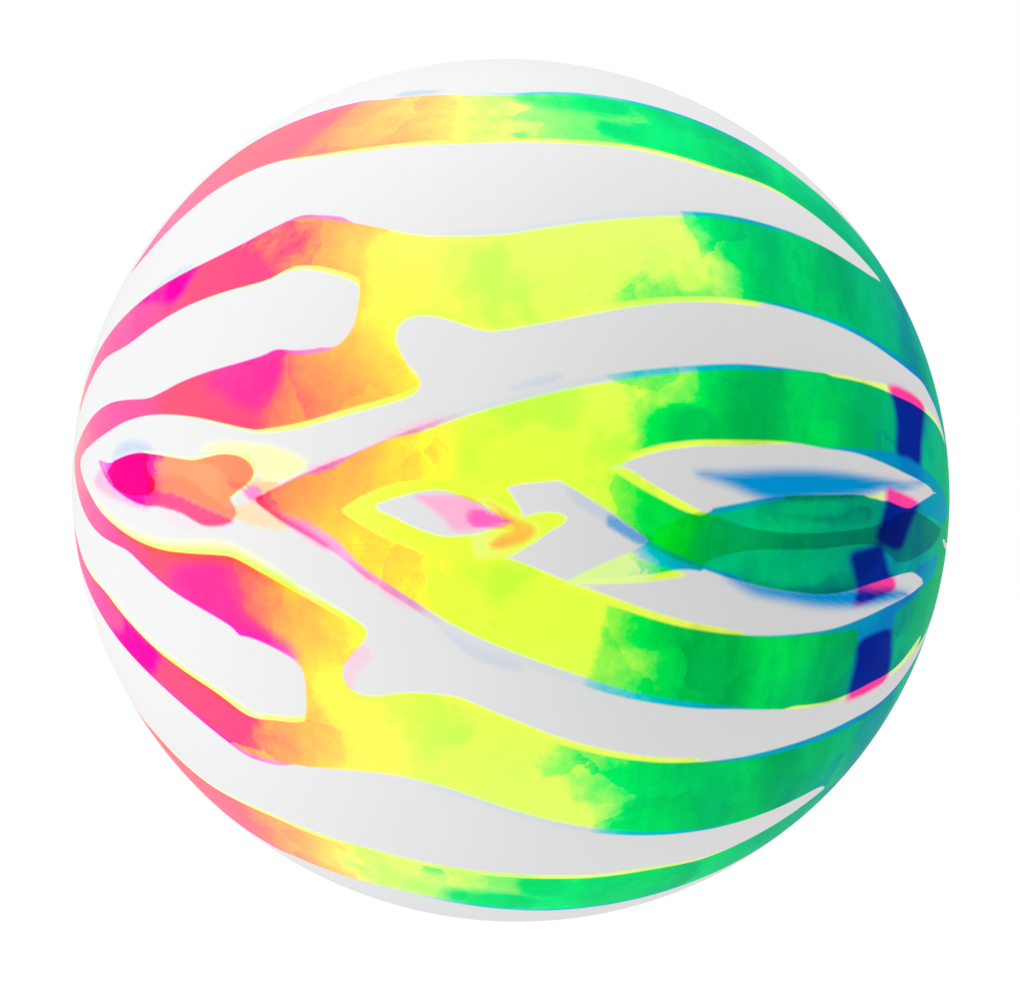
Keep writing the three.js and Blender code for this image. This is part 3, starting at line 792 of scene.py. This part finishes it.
def printed_vinyl():
    material, tree, shader = new_material("printed_vinyl")
    where = add_node(tree, "ShaderNodeTexCoord").outputs["Object"]
    along, across, lead = attribute_parts(tree, "print_place")
    washed = washed_along(tree, where, along, across, lead)
    off_middle = sum_up(tree, "ABSOLUTE", across)
    past_full = sum_up(tree, "SUBTRACT", off_middle, FULL_TO)
    thinned = sum_up(tree, "MULTIPLY_ADD", past_full, -PALER_BY_DEGREE, 1.0, clamp=True)
    second_washes = attribute_parts(tree, "second_washes")
    thinned = sum_up(tree, "MULTIPLY", thinned, sum_up(tree, "SUBTRACT", 1.0, second_washes[2]))
    outer = smooth_step(tree, off_middle, 44.0, 54.0)
    pinkness = sum_up(tree, "MULTIPLY_ADD", outer, -LIGHTER_PINK, 1.0)

    dyes = (1, 1, 1)
    shares = []
    edges = attribute_parts(tree, "ink_edges")
    inks = ((YELLOW_INK, thinned), (MAGENTA_INK, pinkness), (CYAN_INK, 1.0))
    for edge, (stops, strength) in zip(edges, inks):
        share = smooth_step(tree, edge, -INK_EDGE_SOFTNESS, INK_EDGE_SOFTNESS)
        share = sum_up(tree, "MULTIPLY", share, strength)
        dyes = blend_colours(tree, "MULTIPLY", share, dyes, ramp_along(tree, washed, stops))
        shares.append(share)
    yellow_share, magenta_share = shares[:2]
    # the magenta has no colour between its warm end and the columns, so it covers nothing there
    run_out = smooth_step(tree, along, 73.0, 80.0)
    before_columns = smooth_step(tree, along, 120.0, 126.0, 1.0, 0.0)
    colourless = sum_up(tree, "MULTIPLY", run_out, before_columns)
    tinted = sum_up(tree, "MULTIPLY", magenta_share, sum_up(tree, "SUBTRACT", 1.0, colourless))
    covered = sum_up(tree, "MAXIMUM", yellow_share, tinted)
    crossed_edge, hook_edge, _ = attribute_parts(tree, "overprint")
    share = smooth_step(tree, crossed_edge, -INK_EDGE_SOFTNESS, INK_EDGE_SOFTNESS)
    dyes = blend_colours(tree, "MULTIPLY", share, dyes, ramp_along(tree, along, CROSSED_INKS))
    share = smooth_step(tree, hook_edge, -INK_EDGE_SOFTNESS, INK_EDGE_SOFTNESS)
    dyes = blend_colours(tree, "MULTIPLY", share, dyes, ramp_along(tree, washed, HOOK_INK))
    covered = sum_up(tree, "MAXIMUM", share, covered)
    # where one of the two warm inks sticks out from under the other it is stronger
    pinks = sum_up(tree, "MAXIMUM", share, magenta_share)
    warm = smooth_step(tree, washed, 76.0, 86.0, 1.0, 0.0)
    bare_yellow = sum_up(tree, "SUBTRACT", yellow_share, pinks, clamp=True)
    bare_magenta = sum_up(tree, "SUBTRACT", magenta_share, yellow_share, clamp=True)
    for bare, tint in zip((bare_yellow, bare_magenta), BARE_TINTS):
        dyes = blend_colours(tree, "MULTIPLY", sum_up(tree, "MULTIPLY", bare, warm), dyes, tint)
    for smear, ink in zip(attribute_parts(tree, "ink_smears"), SMEARED_INKS):
        dyes = blend_colours(tree, "MULTIPLY", smear, dyes, ink)
        if ink is not SMEARED_INKS[2]:
            covered = sum_up(tree, "MAXIMUM", smear, covered)
    brushed = noise(tree, where, 90, detail=5, roughness=0.7)
    brushed = smooth_step(tree, brushed, 0.38, 0.55, 0.7, 1.1)
    brushed = sum_up(tree, "MULTIPLY", brushed, covered)
    for smear, ink in zip(second_washes, SECOND_INKS):
        share = sum_up(tree, "MULTIPLY", smear, brushed)
        dyes = blend_colours(tree, "MULTIPLY", share, dyes, ink)

    # brush marks: darker and lighter streaks that run across the bands
    print_at = add_node(tree, "ShaderNodeCombineXYZ")
    connect(tree, sum_up(tree, "MULTIPLY", along, 0.2), print_at.inputs[0])
    connect(tree, sum_up(tree, "MULTIPLY", across, 0.03), print_at.inputs[1])
    streak = noise(tree, print_at.outputs[0], 1.0, detail=4, roughness=0.6)
    cloud = noise(tree, where, 42, detail=4, roughness=0.6)
    density = sum_up(tree, "ADD", streak, cloud)
    density = smooth_step(tree, density, 0.7, 1.3, 0.0, 1.0)
    greener = smooth_step(tree, washed, 100.0, 116.0, 0.12, 0.42)
    darker = sum_up(tree, "MULTIPLY", sum_up(tree, "MULTIPLY", density, greener), covered)
    dyes = blend_colours(tree, "MULTIPLY", darker, dyes, STREAK_TINT)

    # lime clouds in the yellow
    lime = sum_up(tree, "MULTIPLY", smooth_step(tree, cloud, 0.48, 0.6), yellow_share)
    lime = sum_up(tree, "MULTIPLY", lime, smooth_step(tree, washed, 78.0, 88.0, 0.0, 0.6))
    dyes = blend_colours(tree, "MULTIPLY", lime, dyes, LIME_TINT)
    ground = blend_colours(tree, "MIX", covered, WHITE_VINYL, (1, 1, 1))
    colour = blend_colours(tree, "MULTIPLY", 1.0, ground, dyes)
    connect(tree, colour, shader.inputs["Base Color"])
    # painted glow: the inked areas emit a share of their own colour, standing in for daylight
    # fluorescence
    glow = blend_colours(tree, "MULTIPLY", 1.0, colour, (PAINTED_INK_GLOW, PAINTED_INK_GLOW, PAINTED_INK_GLOW))
    glow = blend_colours(tree, "MIX", covered, (0, 0, 0), glow)
    connect(tree, glow, shader.inputs["Emission Color"])
    shader.inputs["Emission Strength"].default_value = 1.0
    shader.inputs["Specular IOR Level"].default_value = 0.004
    use_moulded_surface(tree, shader, shine=0.42, peel=1.0, height=0.00004)
    return material


skin.data.materials.append(printed_vinyl())


# ---- The valve base ------------------------------------------------------
# A bush of the same vinyl, undyed, moulded on its own and welded under the skin by its
# flange. Its flat rim shows in the skin's hole and its sleeve reaches into the ball.
base_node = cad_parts["valve_base"]


def undyed_vinyl():
    material, tree, shader = new_material("undyed_vinyl")
    where = add_node(tree, "ShaderNodeTexCoord").outputs["Object"]
    cloud = noise(tree, where, 160, detail=3)
    colour = blend_colours(tree, "MIX", cloud, (0.70, 0.68, 0.62), (0.80, 0.79, 0.74))
    connect(tree, colour, shader.inputs["Base Color"])
    shader.inputs["Specular IOR Level"].default_value = 0.3
    use_moulded_surface(tree, shader, shine=0.45, peel=1.0, height=0.00003)
    return material


base_node.data.materials.clear()
base_node.data.materials.append(undyed_vinyl())


# ---- The valve plug ------------------------------------------------------
# A push-in plug of harder white plastic, moulded in one with its low domed head and two
# sealing rings. It sits in the base's sleeve and pulls straight out.
plug_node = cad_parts["valve_plug"]


def plug_plastic():
    material, tree, shader = new_material("plug_plastic")
    where = add_node(tree, "ShaderNodeTexCoord").outputs["Object"]
    cloud = noise(tree, where, 220, detail=3)
    colour = blend_colours(tree, "MIX", cloud, (0.80, 0.80, 0.79), (0.87, 0.87, 0.86))
    connect(tree, colour, shader.inputs["Base Color"])
    use_moulded_surface(tree, shader, shine=0.33, peel=1.0, height=0.00001)
    return material


plug_node.data.materials.clear()
plug_node.data.materials.append(plug_plastic())


# ---- Floor and light -----------------------------------------------------
# A white sweep lit so brightly that it keeps no shadow, inside a plain white tent, with one
# big soft light low on the left and another overhead, so the near and right sides are greyer.
FLOOR_Z = skin_low.z - 0.0005
FLOOR_SIZE = 12.0
FLOOR_GLOW = 0.96
TENT_GLOW = 0.48
LIGHT_DISTANCE = 1.5


def glow_unseen(tree, glow):
    """A glow that the camera sees as plain white, whatever light it gives."""
    seen = add_node(tree, "ShaderNodeLightPath").outputs["Is Camera Ray"]
    return sum_up(tree, "MAXIMUM", seen, glow)


def white_sweep():
    material, tree, shader = new_material("white_sweep")
    shader.inputs["Base Color"].default_value = (0.02, 0.02, 0.02, 1)
    shader.inputs["Roughness"].default_value = 1.0
    shader.inputs["Specular IOR Level"].default_value = 0.0
    shader.inputs["Emission Color"].default_value = (1, 1, 1, 1)
    connect(tree, glow_unseen(tree, FLOOR_GLOW), shader.inputs["Emission Strength"])
    return material


floor_bm = bmesh.new()
bmesh.ops.create_grid(
    floor_bm, x_segments=4, y_segments=4, size=FLOOR_SIZE / 2,
    matrix=Matrix.Translation((0, 0, FLOOR_Z)),
)
floor = link("floor", floor_bm)
floor.data.materials.append(white_sweep())

world = bpy.data.worlds.new("white_tent")
bpy.context.scene.world = world
world.use_nodes = True
backdrop = world.node_tree.nodes["Background"]
backdrop.inputs["Color"].default_value = (1, 1, 1, 1)
connect(world.node_tree, glow_unseen(world.node_tree, TENT_GLOW), backdrop.inputs["Strength"])


def soft_light(name, azimuth, elevation, across, brightness):
    """A square soft light aimed at the ball. Brightness is what it adds on a white card."""
    light = bpy.data.lights.new(name, "AREA")
    light.shape = "SQUARE"
    light.size = across
    light.energy = brightness * (math.pi * LIGHT_DISTANCE) ** 2
    lamp = bpy.data.objects.new(name, light)
    bpy.context.scene.collection.objects.link(lamp)
    level = LIGHT_DISTANCE * math.cos(math.radians(elevation))
    lamp.location = (
        level * math.cos(math.radians(azimuth)),
        level * math.sin(math.radians(azimuth)),
        LIGHT_DISTANCE * math.sin(math.radians(elevation)),
    )
    lamp.rotation_euler = (-lamp.location).to_track_quat("-Z", "Y").to_euler()


soft_light("low_left", azimuth=210, elevation=8, across=1.1, brightness=0.65)
soft_light("overhead", azimuth=15, elevation=78, across=1.4, brightness=0.75)
bpy.context.scene.view_settings.view_transform = "Standard"
